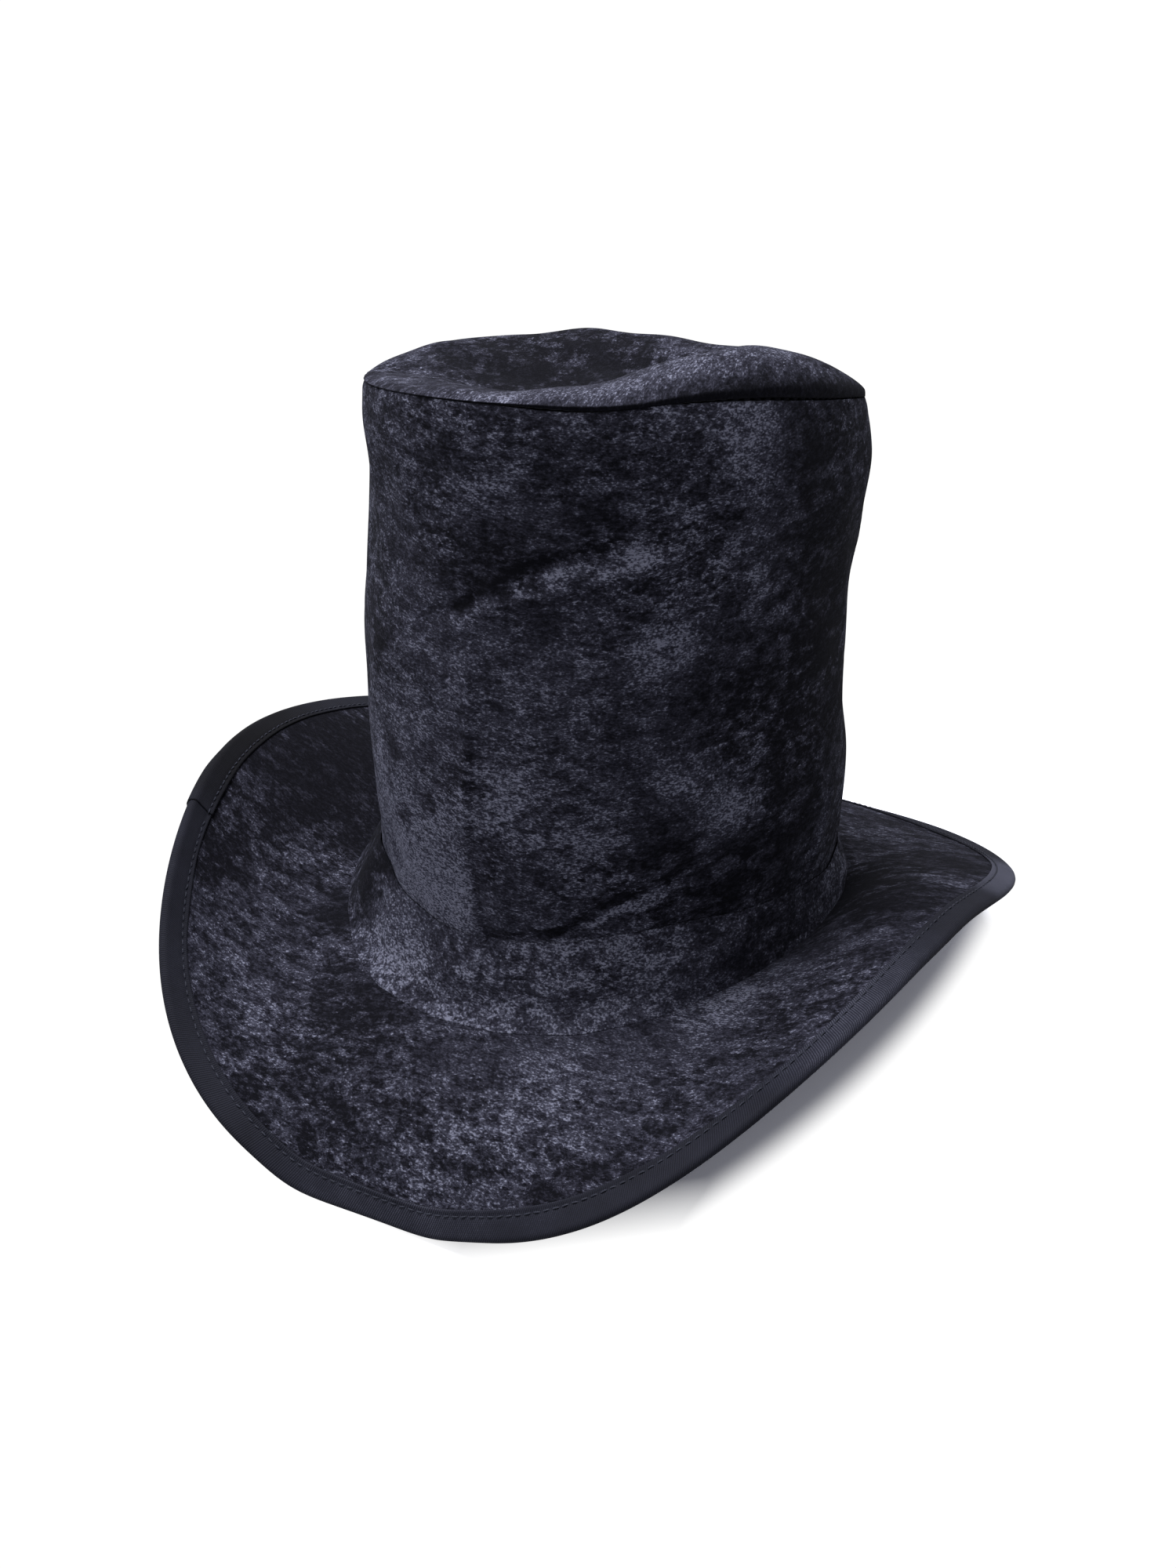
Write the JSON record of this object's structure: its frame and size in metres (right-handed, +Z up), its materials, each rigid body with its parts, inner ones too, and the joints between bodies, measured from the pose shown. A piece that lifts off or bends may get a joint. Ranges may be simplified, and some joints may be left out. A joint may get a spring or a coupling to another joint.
{
  "type": "top hat",
  "caption": "Tall soft top hat in crushed velvet with a sagging oval top, a flared velvet band and a curled brim bound with ribbed tape.",
  "frame": {"origin": "on the crown's axis in the plane the hat rests on", "axes": "+Z up, -Y the wearer's front, +X the wearer's left"},
  "size_m": [0.3187, 0.3489, 0.269],
  "materials": {
    "crushed_velvet": "matte",
    "foam": "matte",
    "lining_cloth": "satin",
    "thread": "satin",
    "stiff_core": "matte",
    "wire_steel": "satin",
    "sleeve_brass": "satin",
    "binding_tape": "satin",
    "sweatband_cloth": "satin"
  },
  "bodies": {
    "root": {"crown_side_velvet": "crushed_velvet", "crown_side_foam": "foam", "crown_side_lining": "lining_cloth", "crown_back_seam_thread": "thread", "crown_tip_velvet": "crushed_velvet", "crown_tip_foam": "foam", "crown_tip_lining": "lining_cloth", "crown_tip_seam_thread": "thread", "hat_band": "crushed_velvet", "band_tack_thread": "thread", "brim_top_velvet": "crushed_velvet", "brim_stiffener": "stiff_core", "brim_under_velvet": "crushed_velvet", "brim_edge_wire": "wire_steel", "wire_joiner": "sleeve_brass", "brim_binding": "binding_tape", "binding_stitches_top": "thread", "binding_stitches_under": "thread", "sweatband": "sweatband_cloth", "sweatband_stitches": "thread", "crown_brim_seam_thread": "thread"}
  },
  "joints": []
}
